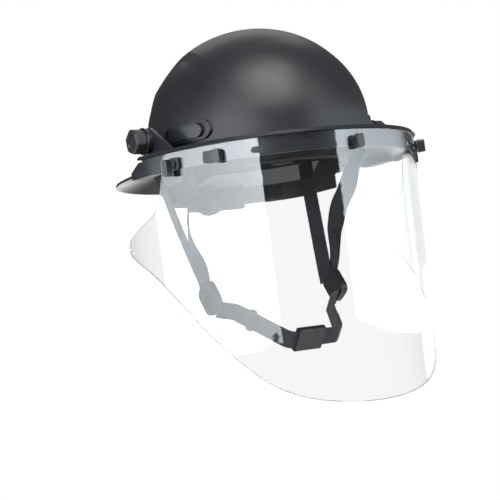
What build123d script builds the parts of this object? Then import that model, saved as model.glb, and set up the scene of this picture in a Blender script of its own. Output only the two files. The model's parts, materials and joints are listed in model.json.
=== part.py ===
from build123d import *
from math import cos, pi, radians, sin, sqrt
import os

# Full-brim hard hat with a flip-up face shield.
# Millimetres. +Z up, the wearer faces -Y, the wearer's right side is -X.
# The origin is the centre of the head opening, at the height of the rim's lower edge.

# --- Hard-hat shell ---
DOME_A = 107.6          # half width of the dome
DOME_B = 117.0          # half length of the dome
DOME_H = 100.0          # height of the dome above its widest section
DOME_Y = 2.3            # the dome sits slightly behind the origin
DOME_Z = 24.2           # height of the widest section
SHELL_T = 2.5           # wall thickness
CROWN_RISE = 3.4        # how far the raised crown panel stands above the dome
CROWN_BACK = 2.8        # how far the raised crown panel is moved back
CROWN_SHORT = 3.0       # the raised panel's ellipsoid is this much shorter
CROWN_HALF = 80.0       # the panel's greatest half width
CROWN_LEVEL = 95.0      # at this height its edge is CROWN_WIDE from the middle
CROWN_WIDE = 75.8
CROWN_SLOPE = 0.8       # the edge ramps outward as it goes down
# the panel's edge seen from above: along the hat, and inward from the widest place
CROWN_EDGE = [(-91, 62), (-68, 26), (-47, 10), (-12, 0.3), (20, 3), (60, 11), (100, 21), (145, 34)]

BRIM_A = 140.5          # half width of the brim
BRIM_B = 155.2          # half length of the brim
BRIM_Y = 7.6            # centre of the brim's outline
BRIM_TOP = 2.0          # where the brim's upper face meets the dome
BRIM_EDGE = -10.7       # upper face of the brim at its edge
BRIM_T = 2.3            # depth of the brim's edge

# --- Accessory housings on the dome's sides ---
HOUSING_Y = -33.0
HOUSING_Z = 21.0
HOUSING_L = 58.0
HOUSING_H = 18.0
HOUSING_RISE = 3.0
HOUSING_WALL = 2.4
COVER_L = 43.0
COVER_H = 12.8
COVER_RISE = 4.2
RECESS_FLOOR = 0.8      # the recess stops this far outside the dome

# --- Face-shield frame and visor ---
VISOR_A = 147.1         # outer half width of the visor at the retainers
VISOR_B = 155.9         # outer half length of the visor at the retainers
VISOR_T = 1.5
VISOR_TAPER = 0.021     # inward slope of the visor, mm per mm of height
VISOR_TOP = -0.6
VISOR_BOTTOM = -248.5
RETAINER_Z = -11.2      # height of the retainers and the slots
BAND_A = 145.0
BAND_B = 153.8
BAND_T = 2.4
BAND_BOTTOM = -16.4
RIM_OUT = 2.2           # overhang of the rim beyond the visor
RIM_H = 3.4
RIM_BEVEL = 2.8
RIM_IN = 4.2            # ledge inside the band

# --- Pivots ---
PIVOT_Y = -7.2
PIVOT_Z = 19.0
ARM_IN = 126.3          # inner face of the arm
ARM_OUT = 129.5         # outer face of the arm
ARM_R = 12.6
ARM_FOOT = (-52.0, -15.0)   # front and rear end of the arm's foot
CARRIER_IN = 121.3
CARRIER_OUT = 125.5
CARRIER_R = 10.0
CLIP_Y = (-34.0, 9.0)   # front and rear end of the brim clip
CLIP_WALL = 1.6         # upright wall above the jaw's outer edge
CLIP_TOP = -0.8
CLIP_IN = 119.5         # inner end of the clip on top of the brim
LOWER_JAW_IN = 129.0
CLIP_T = 2.4
BOSS_T = 4.4            # round boss on the arm's outer face
BOSS_R = 11.4
WASHER_T = 2.4
WASHER_R = 12.9
KNOB_OUT = 148.0
KNOB_R = 12.7
KNOB_FLANGE_R = 10.8
KNOB_FLANGE_T = 1.6
STUD_R = 3.0
STUD_END = 116.4
NUT_T = 3.6
GAP = 0.2               # between faces that turn against each other
THREAD_GAP = 0.05
FIT = 0.1               # between faces that only touch

# --- Retainers ---
SLOT_ANGLE = 35.5       # the empty oblong slots, degrees from the front
SLOT_L = 13.0
SLOT_H = 5.6
MID_ANGLE = 50.3
REAR_ANGLE = 67.0
COLLAR_H = 11.0
COLLAR_T = 2.0
COLLAR_LIFT = 0.3       # clears the visor's slope
POST_R = 2.5
LEVER_HUB_R = 4.2
FOOT_T = 1.1

# --- Suspension ---
HEAD_A = 79.4           # outer half width of the headband
HEAD_B = 97.0           # outer half length of the headband's front
HEAD_T = 1.8
TAIL_END = 31.0         # rear end of the headband's tails
PAD_T = 4.5
NAPE_A = 81.8
NAPE_B = 50.0
NAPE_Y = 50.0
NAPE_FRONT = -6.0       # front end of the nape band's arms
NAPE_LOW = -36.0
NAPE_HIGH = -18.0
HOUSING_DEPTH = 8.0     # depth of the ratchet housing
RATCHET_R = 16.5
CROWN_R = 100.0         # half span of the crown straps
CROWN_TOP = 92.0
CROWN_FOOT = 10.0
CROWN_W = 20.0
CROWN_T = 1.4

# --- Chin strap ---
WEB_W = 19.0
WEB_T = 1.4
ANCHOR_W = 20.0
ANCHOR_H = 15.0
ANCHOR_T = 3.2
ANCHOR_Z = 8.2
ADJUSTER_IN = 70.5      # inner face of the side adjusters
ADJUSTER_Y = 8.0
ADJUSTER_Z = -134.0
ADJUSTER_TILT = 35.0    # the adjusters lean forward at the bottom
ADJUSTER_W = 25.0
ADJUSTER_L = 31.0
ADJUSTER_T = 8.0
CAM_FLOOR = 4.6
CAM_AXIS = -0.6
CAM_W = 14.0
CAM_T = 3.0
# lower end of each side strap and how far it bows to the rear
SIDE_STRAPS = {"front": (76.0, 10.0, -120.0, 21.0), "rear": (72.6, 20.0, -123.0, 1.0)}
CHIN_TILT = 38.0        # the chin webbing runs in a plane tilted down to the front
CHIN_Y = -1.0
CHIN_Z = -148.0
CHIN_START = 71.5
CHIN_KNEE = 55.0        # where the webbing leaves the jaw's side
CHIN_REACH = 58.0       # how far forward the webbing runs in its plane
CHIN_RIGHT = -25.0      # where the webbing turns to cross under the chin
CHIN_LEFT = 34.0
CHIN_BEND = 9.0
CHIN_BEND_LEFT = 12.0
KEEPER_RUN = 18.0       # the keeper's place along the sloping webbing
KEEPER_L = 6.0
BUCKLE_START = -18.0
BUCKLE_MID = 0.0
BUCKLE_END = 12.0
BUCKLE_RELEASE = 9.0
BUCKLE_W = 25.0
BUCKLE_T = 7.5

CLIP_REACH = {"front": 78.0, "rear": 90.0}     # inner end of the suspension clips
SIDES = {"right": -1, "left": 1}
parts = {}


def keep(name, part):
    """Label a finished piece and store it for export."""
    part.label = name
    parts[name] = part


def half_ellipsoid(a, b, h):
    with BuildPart() as dome:
        Sphere(1, arc_size1=0, align=(Align.CENTER, Align.CENTER, Align.MIN))
        scale(by=(a, b, h))
    return dome.part


def dome_skin(grow, back=0.0, rise=0.0, shorter=0.0):
    """The dome and its skirt, grown by a distance, moved back and up, and shortened."""
    a = DOME_A + grow
    b = DOME_B + grow - shorter
    cap = half_ellipsoid(a, b, DOME_H + grow)
    low = BRIM_EDGE - BRIM_T - 5
    with BuildPart() as dome:
        with Locations((0, DOME_Y + back, DOME_Z + rise)):
            add(cap)
        with BuildSketch(Plane.XY.offset(low)):
            with Locations((0, DOME_Y + back)):
                Ellipse(a, b)
        extrude(amount=DOME_Z + rise - low)
    return dome.part


def crown_side(sign, grow):
    """The space on the inner side of one edge of the crown panel, which ramps outward."""
    with BuildPart() as side:
        for z in (BRIM_EDGE - BRIM_T - 5, DOME_Z + DOME_H + 15):
            half = CROWN_WIDE - CROWN_SLOPE * (z - CROWN_LEVEL) + grow
            edge = [(sign * (half - inward), along) for along, inward in CROWN_EDGE]
            with BuildSketch(Plane.XY.offset(z)):
                with BuildLine():
                    Spline(*edge)
                    Polyline(edge[-1], (-sign * 200, 145), (-sign * 200, -91), edge[0])
                make_face()
        loft(ruled=True)
    return side.part


def crowned_dome(grow):
    """The dome with its raised crown panel."""
    raised = dome_skin(grow, CROWN_BACK, CROWN_RISE, CROWN_SHORT)
    plain = dome_skin(grow)
    right_side = crown_side(-1, grow)
    left_side = crown_side(1, grow)
    with BuildPart() as dome:
        with BuildSketch(Plane.XY.offset(BRIM_EDGE - BRIM_T - 5)):
            Rectangle(2 * (CROWN_HALF + grow), 400)
        extrude(amount=DOME_H + 60)
        add(right_side, mode=Mode.INTERSECT)
        add(left_side, mode=Mode.INTERSECT)
        add(raised, mode=Mode.INTERSECT)
        add(plain)
    return dome.part


def brim_solid(grow, bottom):
    """The brim as a filled cone down to its edge, and straight down from there."""
    edge = BRIM_EDGE + grow
    with BuildPart() as brim:
        with BuildSketch(Plane.XY.offset(edge)):
            with Locations((0, BRIM_Y)):
                Ellipse(BRIM_A + grow, BRIM_B + grow)
        with BuildSketch(Plane.XY.offset(BRIM_TOP + grow)):
            with Locations((0, DOME_Y)):
                Ellipse(DOME_A + grow, DOME_B + grow)
        loft(ruled=True)
        with BuildSketch(Plane.XY.offset(bottom)):
            with Locations((0, BRIM_Y)):
                Ellipse(BRIM_A + grow, BRIM_B + grow)
        extrude(amount=edge - bottom)
    return brim.part


def elliptic_band(outer, wall, bottom, top, centre_y=0.0):
    """A ring with a constant wall, between two heights."""
    with BuildPart() as band:
        with BuildSketch(Plane.XY.offset(bottom)):
            with Locations((0, centre_y)):
                Ellipse(*outer)
                Ellipse(outer[0] - wall, outer[1] - wall, mode=Mode.SUBTRACT)
        extrude(amount=top - bottom)
    return band.part


def side_prism(points, reach=200.0):
    """A side-view outline in Y and Z, carried across the whole width."""
    with BuildPart() as prism:
        with BuildSketch(Plane.YZ):
            with BuildLine():
                Polyline(*points, close=True)
            make_face()
        extrude(amount=reach, both=True)
    return prism.part


def outward_plane(a, b, angle, z, stand_off=0.0):
    """A plane that touches an upright ellipse: its normal points outward, its X level."""
    t = radians(angle)
    normal = Vector(sin(t) / a, -cos(t) / b, 0).normalized()
    origin = Vector(a * sin(t), -b * cos(t), z) + normal * stand_off
    level = Vector(-normal.Y, normal.X, 0)
    return Plane(origin=origin, x_dir=level, z_dir=normal)


# --- Shell ---
def housing_prism(length, height):
    with BuildPart() as prism:
        with BuildSketch(Plane.YZ):
            with Locations((HOUSING_Y, HOUSING_Z)):
                SlotOverall(length, height)
        extrude(amount=DOME_A + 20, both=True)
    return prism.part


outer_dome = crowned_dome(0)
inner_dome = crowned_dome(-SHELL_T)
brim_outer = brim_solid(0, BRIM_EDGE - BRIM_T)
brim_cut = brim_solid(-BRIM_T, BRIM_EDGE - BRIM_T - 4)
housing_outline = housing_prism(HOUSING_L, HOUSING_H)
housing_skin = dome_skin(HOUSING_RISE)
recess_outline = housing_prism(HOUSING_L - 2 * HOUSING_WALL, HOUSING_H - 2 * HOUSING_WALL)
recess_floor = dome_skin(RECESS_FLOOR)

with BuildPart() as housings:
    add(housing_outline)
    add(housing_skin, mode=Mode.INTERSECT)

with BuildPart() as housing_recess:
    add(recess_outline)
    add(recess_floor, mode=Mode.SUBTRACT)

with BuildPart() as shell:
    add(brim_outer)
    add(outer_dome)
    add(housings.part)
    add(brim_cut, mode=Mode.SUBTRACT)
    add(inner_dome, mode=Mode.SUBTRACT)
    add(housing_recess.part, mode=Mode.SUBTRACT)
    split(bisect_by=Plane.XY.offset(BRIM_EDGE - BRIM_T), keep=Keep.TOP)
keep("shell", shell.part)

# --- Accessory covers ---
cover_outline = housing_prism(COVER_L, COVER_H)
cover_outside = dome_skin(COVER_RISE)
cover_inside = dome_skin(RECESS_FLOOR)

with BuildPart() as covers:
    add(cover_outline)
    add(cover_outside, mode=Mode.INTERSECT)
    add(cover_inside, mode=Mode.SUBTRACT)

for side, sign in SIDES.items():
    with BuildPart() as accessory_cover:
        add(covers.part)
        split(bisect_by=Plane.YZ, keep=Keep.TOP if sign > 0 else Keep.BOTTOM)
    keep(f"accessory_cover_{side}", accessory_cover.part)

# --- Face-shield frame ---
BAND_REAR = [(-190, -30), (-190, 6), (-14, 6), (-14.5, 1), (-17, -0.6), (-33, BAND_BOTTOM), (-33, -30)]
band_ring = elliptic_band((BAND_A, BAND_B), BAND_T, BAND_BOTTOM, RIM_H)
band_side = side_prism(BAND_REAR)

with BuildPart() as rim_ring:
    for z, inset in ((0.0, 0.0), (RIM_H, RIM_BEVEL)):
        with BuildSketch(Plane.XY.offset(z)):
            Ellipse(VISOR_A + RIM_OUT - inset, VISOR_B + RIM_OUT - inset)
    loft(ruled=True)
    with BuildSketch(Plane.XY):
        Ellipse(BAND_A - RIM_IN, BAND_B - RIM_IN)
    extrude(amount=RIM_H, mode=Mode.SUBTRACT)

with BuildPart() as arms:
    # the ledge that carries each arm, bounded by the rim
    with BuildSketch(Plane.XY):
        Ellipse(BAND_A, BAND_B)
        with Locations((0, (ARM_FOOT[0] + ARM_FOOT[1]) / 2)):
            Rectangle(400, ARM_FOOT[1] - ARM_FOOT[0], mode=Mode.INTERSECT)
        Rectangle(2 * ARM_IN, 400, mode=Mode.SUBTRACT)
    extrude(amount=RIM_H)
    # the arm itself: a plate from the foot to a disc round the pivot
    for sign in SIDES.values():
        with BuildSketch(Plane.YZ.offset(sign * ARM_IN)):
            with Locations((PIVOT_Y, PIVOT_Z)):
                Circle(ARM_R)
            with Locations(((ARM_FOOT[0] + ARM_FOOT[1]) / 2, RIM_H / 2)):
                Rectangle(ARM_FOOT[1] - ARM_FOOT[0], RIM_H)
            make_hull()
        extrude(amount=sign * (ARM_OUT - ARM_IN))
        with BuildSketch(Plane.YZ.offset(sign * ARM_OUT)):
            with Locations((PIVOT_Y, PIVOT_Z)):
                Circle(BOSS_R)
        extrude(amount=sign * BOSS_T)
    with BuildSketch(Plane.YZ):
        with Locations((PIVOT_Y, PIVOT_Z)):
            Circle(STUD_R + GAP)
    extrude(amount=ARM_OUT + BOSS_T + 1, both=True, mode=Mode.SUBTRACT)

retainers = {
    "centre": 0.0,
    "right_mid": -MID_ANGLE,
    "left_mid": MID_ANGLE,
    "right_rear": -REAR_ANGLE,
    "left_rear": REAR_ANGLE,
}
retainer_planes = {
    name: outward_plane(VISOR_A, VISOR_B, angle, RETAINER_Z) for name, angle in retainers.items()
}

with BuildPart() as shield_frame:
    add(band_ring)
    add(rim_ring.part)
    add(band_side, mode=Mode.INTERSECT)
    add(arms.part)
    for plane in retainer_planes.values():
        with BuildSketch(plane.offset(-12)):
            Circle(POST_R + GAP)
        extrude(amount=14, mode=Mode.SUBTRACT)
keep("shield_frame", shield_frame.part)

# --- Visor ---
with BuildPart() as visor_sheet:
    for inset, mode in ((0.0, Mode.ADD), (VISOR_T, Mode.SUBTRACT)):
        for z in (VISOR_TOP, VISOR_BOTTOM - 5):
            taper = VISOR_TAPER * (RETAINER_Z - z)
            with BuildSketch(Plane.XY.offset(z)):
                Ellipse(VISOR_A - taper - inset, VISOR_B - taper - inset)
        loft(ruled=True, mode=mode)

with BuildPart() as visor_outline:
    with BuildSketch(Plane.YZ):
        with BuildLine():
            Line((-190, VISOR_TOP + 2), (-54, VISOR_TOP + 2))
            Line((-54, VISOR_TOP + 2), (-54, VISOR_TOP))
            corner = ThreePointArc((-54, VISOR_TOP), (-48.6, -3.2), (-46, -9))
            neck = Spline(
                corner @ 1, (-42, -27), (-31, -49), (-1, -62), (20, -69.5),
                tangents=(corner % 1, (1, -0.3)),
            )
            tip = ThreePointArc(neck @ 1, (30, -78), (23, -88))
            lower = Spline(
                tip @ 1, (-9, -105), (-65, -160), (-95, -197), (-124, -229), (-157, VISOR_BOTTOM),
                tangents=((-1, -0.55), (-1, -0.5)),
            )
            Line(lower @ 1, (-190, VISOR_BOTTOM))
            Line((-190, VISOR_BOTTOM), (-190, VISOR_TOP + 2))
        make_face()
    extrude(amount=200, both=True)

with BuildPart() as visor:
    add(visor_sheet.part)
    add(visor_outline.part, mode=Mode.INTERSECT)
    for plane in retainer_planes.values():
        with BuildSketch(plane.offset(-6)):
            Circle(POST_R + GAP)
        extrude(amount=12, mode=Mode.SUBTRACT)
    for sign in SIDES.values():
        slot_plane = outward_plane(VISOR_A, VISOR_B, sign * SLOT_ANGLE, RETAINER_Z)
        with BuildSketch(slot_plane.offset(-6)):
            SlotOverall(SLOT_L, SLOT_H)
        extrude(amount=12, mode=Mode.SUBTRACT)
keep("visor", visor.part)

# --- Retainers: a collar on the visor and a lever whose post goes through to a foot ---
# collar shift and length; bar shift, drop, width, height and reach off the visor; foot angle
RETAINER_SHAPES = {
    "centre": (0.8, 9.4, 1.0, 1.0, 7.6, 13.0, 8.5, 90),
    "right_mid": (-4.5, 15.0, 4.0, 0.5, 5.6, 12.8, 10.0, 0),
    "left_mid": (4.5, 15.0, -4.0, 0.5, 5.6, 12.8, 10.0, 0),
    "right_rear": (1.5, 11.0, -3.5, 3.4, 6.4, 15.8, 10.0, 90),
    "left_rear": (-1.5, 11.0, 3.5, 3.4, 6.4, 15.8, 10.0, 90),
}
lever_base = COLLAR_LIFT + COLLAR_T + GAP
foot_top = -(VISOR_B - BAND_B + BAND_T + GAP)

for name, plane in retainer_planes.items():
    collar_shift, collar_length, *bar, foot_angle = RETAINER_SHAPES[name]
    bar_shift, bar_drop, bar_width, bar_height, reach = bar
    with BuildPart() as collar:
        with BuildSketch(plane.offset(COLLAR_LIFT)):
            with Locations((collar_shift, 0)):
                if name == "centre":
                    Circle(collar_length / 2)
                else:
                    RectangleRounded(collar_length, COLLAR_H, 2.2)
        extrude(amount=COLLAR_T)
        with BuildSketch(plane):
            Circle(POST_R + GAP)
        extrude(amount=COLLAR_LIFT + COLLAR_T, mode=Mode.SUBTRACT)
    keep(f"retainer_collar_{name}", collar.part)

    with BuildPart() as lever:
        with BuildSketch(plane.offset(lever_base)):
            Circle(LEVER_HUB_R)
        extrude(amount=2.0)
        with BuildSketch(plane.offset(foot_top)):
            Circle(POST_R)
        extrude(amount=lever_base - foot_top)
        with BuildSketch(plane.offset(foot_top - FOOT_T)):
            SlotOverall(9.0, 2 * POST_R, rotation=foot_angle)
        extrude(amount=FOOT_T)
        with BuildSketch(plane.offset(lever_base)):
            with Locations((bar_shift / 2, -bar_drop / 2)):
                RectangleRounded(abs(bar_shift) + bar_width, 8.0, 1.5)
        extrude(amount=2.0)
        with BuildSketch(plane.offset(lever_base)):
            with Locations((bar_shift, -bar_drop)):
                RectangleRounded(bar_width, bar_height, 0.42 * bar_width)
        extrude(amount=reach - lever_base, taper=4)
    keep(f"retainer_lever_{name}", lever.part)

# --- Brim clips: a C-shaped jaw round the brim's edge and a plate up to the pivot ---
clip_low = BRIM_EDGE - BRIM_T - FIT - CLIP_T
clip_wall = elliptic_band(
    (BRIM_A + FIT + CLIP_WALL, BRIM_B + FIT + CLIP_WALL), CLIP_WALL, BRIM_EDGE, CLIP_TOP, BRIM_Y
)
clip_side = side_prism(
    [(CLIP_Y[0], -30), (CLIP_Y[0], CLIP_TOP), (-5, CLIP_TOP), (CLIP_Y[1], -8), (CLIP_Y[1] - 1, -30)]
)
jaw_outside = brim_solid(FIT + CLIP_T, clip_low)
jaw_inside = brim_solid(FIT, BRIM_EDGE - BRIM_T - FIT)
clip_length = CLIP_Y[1] - CLIP_Y[0]
clip_middle = (CLIP_Y[0] + CLIP_Y[1]) / 2

with BuildPart() as clips:
    with BuildSketch(Plane.XY.offset(clip_low)):
        for sign in SIDES.values():
            with Locations((sign * (CLIP_IN + 30), clip_middle)):
                Rectangle(60, clip_length)
    extrude(amount=40)
    add(jaw_outside, mode=Mode.INTERSECT)
    add(clip_wall)
    add(clip_side, mode=Mode.INTERSECT)
    for sign in SIDES.values():
        with BuildSketch(Plane.YZ.offset(sign * CARRIER_IN)):
            with Locations((PIVOT_Y, PIVOT_Z)):
                Circle(CARRIER_R)
            with Locations((clip_middle, BRIM_EDGE + 6)):
                Rectangle(clip_length - 14, 6)
            make_hull()
        extrude(amount=sign * (CARRIER_OUT - CARRIER_IN))
    add(jaw_inside, mode=Mode.SUBTRACT)
    # the lower jaw reaches only a little way in under the brim
    with BuildSketch(Plane.XY.offset(clip_low)):
        Rectangle(2 * LOWER_JAW_IN, 200)
    extrude(amount=BRIM_EDGE - BRIM_T - clip_low, mode=Mode.SUBTRACT)
    with BuildSketch(Plane.YZ):
        with Locations((PIVOT_Y, PIVOT_Z)):
            Circle(STUD_R + GAP)
    extrude(amount=KNOB_OUT, both=True, mode=Mode.SUBTRACT)

for side, sign in SIDES.items():
    with BuildPart() as brim_clip:
        add(clips.part)
        split(bisect_by=Plane.YZ, keep=Keep.TOP if sign > 0 else Keep.BOTTOM)
    keep(f"brim_clip_{side}", brim_clip.part)

# --- Pivot hardware on both sides ---
for side, sign in SIDES.items():
    def pivot_plane(distance):
        """A plane across the pivot axis, at a distance from the middle, facing outward."""
        return Plane(
            origin=(sign * distance, PIVOT_Y, PIVOT_Z), x_dir=(0, 0, 1), z_dir=(sign, 0, 0)
        )

    with BuildPart() as washer:
        with BuildSketch(pivot_plane(ARM_OUT + BOSS_T)):
            Circle(WASHER_R)
            Circle(STUD_R + GAP, mode=Mode.SUBTRACT)
        extrude(amount=WASHER_T)
        chamfer(washer.edges().filter_by(GeomType.CIRCLE).sort_by(SortBy.RADIUS)[-2:], 0.5)
    keep(f"pivot_washer_{side}", washer.part)

    knob_in = ARM_OUT + BOSS_T + WASHER_T + GAP
    with BuildPart() as knob:
        with BuildSketch(pivot_plane(knob_in)):
            Circle(KNOB_FLANGE_R)
        extrude(amount=KNOB_FLANGE_T)
        with BuildSketch(pivot_plane(knob_in + KNOB_FLANGE_T)) as hexagon:
            RegularPolygon(KNOB_R, 6, rotation=10)
            fillet(hexagon.vertices(), 3.6)
        extrude(amount=KNOB_OUT - knob_in - KNOB_FLANGE_T)
        outer_rim = knob.faces().sort_by(Axis.X)[-1 if sign > 0 else 0]
        chamfer(outer_rim.edges(), 1.6)
        with BuildSketch(pivot_plane(KNOB_OUT)):
            Circle(KNOB_R - 5.4)
        extrude(amount=-2.4, taper=20, mode=Mode.SUBTRACT)
        with BuildSketch(pivot_plane(knob_in)):
            Circle(STUD_R)
        extrude(amount=STUD_END - knob_in)
    keep(f"pivot_knob_{side}", knob.part)

    with BuildPart() as nut:
        with BuildSketch(pivot_plane(CARRIER_IN)):
            RegularPolygon(7.0, 6)
            Circle(STUD_R + THREAD_GAP, mode=Mode.SUBTRACT)
        extrude(amount=-NUT_T)
    keep(f"pivot_nut_{side}", nut.part)

# --- Headband and brow pad ---
def u_outline(a, b, end, shrink):
    """Half an ellipse to the front and two straight tails to the rear."""
    with BuildSketch() as outline:
        Ellipse(a - shrink, b - shrink)
        with Locations((0, 150)):
            Rectangle(400, 300, mode=Mode.SUBTRACT)
        with Locations((0, end / 2)):
            Rectangle(2 * (a - shrink), end)
    return outline.sketch


head_outer = u_outline(HEAD_A, HEAD_B, TAIL_END, 0)
head_inner = u_outline(HEAD_A, HEAD_B, TAIL_END + 1, HEAD_T)
head_side = side_prism(
    [(-120, -15), (-60, -16), (-20, -20), (TAIL_END, NAPE_LOW + 1), (TAIL_END, NAPE_HIGH - 1),
     (0, 6), (-50, 15), (-120, 17)]
)

with BuildPart() as headband:
    with BuildSketch(Plane.XY.offset(-40)):
        add(head_outer)
        add(head_inner, mode=Mode.SUBTRACT)
    extrude(amount=60)
    add(head_side, mode=Mode.INTERSECT)
keep("headband", headband.part)

pad_ring = elliptic_band((HEAD_A - HEAD_T, HEAD_B - HEAD_T), PAD_T, -17.5, 14.0)
with BuildPart() as brow_pad:
    with BuildSketch():
        with Locations((0, -110)):
            Rectangle(200, 160)
    extrude(amount=20, both=True)
    add(pad_ring, mode=Mode.INTERSECT)
keep("brow_pad", brow_pad.part)

# --- Nape band, pad and ratchet ---
def nape_outline(grow, front):
    """Half an ellipse to the rear and two straight arms to the front."""
    with BuildSketch() as outline:
        with Locations((0, NAPE_Y)):
            Ellipse(NAPE_A + grow, NAPE_B + grow)
        with Locations((0, NAPE_Y - 150)):
            Rectangle(400, 300, mode=Mode.SUBTRACT)
        with Locations((0, (front + NAPE_Y) / 2)):
            Rectangle(2 * (NAPE_A + grow), NAPE_Y - front)
    return outline.sketch


def nape_slice(outer, inner, low, high, front, centre_x=0.0, width=400.0):
    """A part of the nape's curve, between two offsets, two heights and behind a line."""
    outside = nape_outline(outer, front)
    inside = nape_outline(inner, front - 1)
    with BuildPart() as piece:
        with BuildSketch(Plane.XY.offset(low)):
            add(outside)
            add(inside, mode=Mode.SUBTRACT)
            with Locations((centre_x, front + 100)):
                Rectangle(width, 200, mode=Mode.INTERSECT)
        extrude(amount=high - low)
    return piece.part


ratchet_z = (NAPE_LOW + NAPE_HIGH) / 2
ratchet_y = NAPE_Y + NAPE_B


def ratchet_plane(y):
    """A plane across the ratchet's axis, facing the rear."""
    return Plane(origin=(0, y, ratchet_z), x_dir=(1, 0, 0), z_dir=(0, 1, 0))


keep("nape_band", nape_slice(0, -HEAD_T, NAPE_LOW, NAPE_HIGH, NAPE_FRONT))
keep("nape_pad", nape_slice(-HEAD_T, -HEAD_T - 4.0, NAPE_LOW + 1, NAPE_HIGH - 1, 74.0))

housing_block = nape_slice(HOUSING_DEPTH, FIT, NAPE_LOW - 4, NAPE_HIGH + 3, 70.0, width=66.0)
with BuildPart() as ratchet_housing:
    add(housing_block)
    with BuildSketch(ratchet_plane(ratchet_y + 1.6)):
        Circle(6.4)
    extrude(amount=4.8, mode=Mode.SUBTRACT)
    with BuildSketch(ratchet_plane(ratchet_y + 1.6)):
        Circle(3.2)
    extrude(amount=20, mode=Mode.SUBTRACT)
keep("ratchet_housing", ratchet_housing.part)

with BuildPart() as ratchet_pinion:
    with BuildSketch(ratchet_plane(ratchet_y + 2.0)):
        Circle(4.6)
        with PolarLocations(4.9, 12):
            Circle(0.9)
    extrude(amount=4.0)
keep("ratchet_pinion", ratchet_pinion.part)

with BuildPart() as ratchet_knob:
    with BuildSketch(ratchet_plane(ratchet_y + 6.0)):
        Circle(3.0)
    extrude(amount=HOUSING_DEPTH - 5.0)
    with BuildSketch(ratchet_plane(ratchet_y + HOUSING_DEPTH + 0.6)):
        Circle(RATCHET_R)
        with PolarLocations(RATCHET_R + 0.6, 18):
            Circle(1.7, mode=Mode.SUBTRACT)
    extrude(amount=10.0)
    with BuildSketch(ratchet_plane(ratchet_y + HOUSING_DEPTH + 10.6)):
        Circle(RATCHET_R - 5)
    extrude(amount=-2.0, taper=20, mode=Mode.SUBTRACT)
keep("ratchet_knob", ratchet_knob.part)

# --- Crown straps and suspension clips ---
def diagonal_plane(angle):
    """A vertical plane through the middle: local X runs outward at the angle."""
    t = radians(angle)
    return Plane(origin=(0, 0, 0), x_dir=(sin(t), -cos(t), 0), z_dir=(-cos(t), -sin(t), 0))


for name, angle, lift in (("crown_strap_a", 45.0, 0.0), ("crown_strap_b", 135.0, CROWN_T + 0.4)):
    half_span = CROWN_R + lift
    rise = CROWN_TOP - CROWN_FOOT + lift
    with BuildPart() as crown_strap:
        with BuildSketch(diagonal_plane(angle)):
            with Locations((0, CROWN_FOOT)):
                Ellipse(half_span, rise)
                Ellipse(half_span - CROWN_T, rise - CROWN_T, mode=Mode.SUBTRACT)
            with Locations((0, CROWN_FOOT - 100)):
                Rectangle(400, 200, mode=Mode.SUBTRACT)
        extrude(amount=CROWN_W / 2, both=True)
    keep(name, crown_strap.part)

with BuildPart() as head_plug:
    with BuildSketch(Plane.XY.offset(-10)):
        add(head_outer)
    extrude(amount=60)

CLIP_SPOTS = {"front_left": 45.0, "rear_left": 135.0, "rear_right": 225.0, "front_right": 315.0}
for place, angle in CLIP_SPOTS.items():
    lift = 0.0 if place in ("front_left", "rear_right") else CROWN_T + 0.4
    reach = CLIP_REACH["front" if "front" in place else "rear"]
    strap_face = CROWN_R + lift + FIT
    with BuildPart() as suspension_clip:
        with BuildSketch(diagonal_plane(angle)):
            with BuildLine():
                Polyline(
                    (reach, 2), (125, 2), (125, 22), (strap_face, 22),
                    (strap_face, CROWN_FOOT - FIT), (96, CROWN_FOOT - FIT), (94, 6), (reach, 6),
                    close=True,
                )
            make_face()
        extrude(amount=CROWN_W / 2 + 1.5, both=True)
        add(inner_dome, mode=Mode.INTERSECT)
        add(head_plug.part, mode=Mode.SUBTRACT)
    keep(f"suspension_clip_{place}", suspension_clip.part)

# --- Strap anchors on the shell's inner wall ---
wall_a = DOME_A - SHELL_T
wall_b = DOME_B - SHELL_T
ANCHOR_ANGLES = {"front": 68.3, "rear": 119.3}
strap_tops = {}
strap_facings = {}
for place, angle in ANCHOR_ANGLES.items():
    for side, sign in SIDES.items():
        wall = outward_plane(wall_a, wall_b, sign * angle, ANCHOR_Z)
        wall.origin = wall.origin + Vector(0, DOME_Y, 0)
        with BuildPart() as anchor:
            with BuildSketch(wall.offset(-0.5)):
                RectangleRounded(ANCHOR_W, ANCHOR_H, 2.0)
            extrude(amount=-ANCHOR_T)
        keep(f"strap_anchor_{place}_{side}", anchor.part)
        strap_tops[place, side] = (
            wall.origin - wall.z_dir * (0.5 + ANCHOR_T / 2) - Vector(0, 0, ANCHOR_H / 2)
        )
        strap_facings[place, side] = (wall.z_dir + Vector(sign, 0, 0)).normalized()

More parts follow.
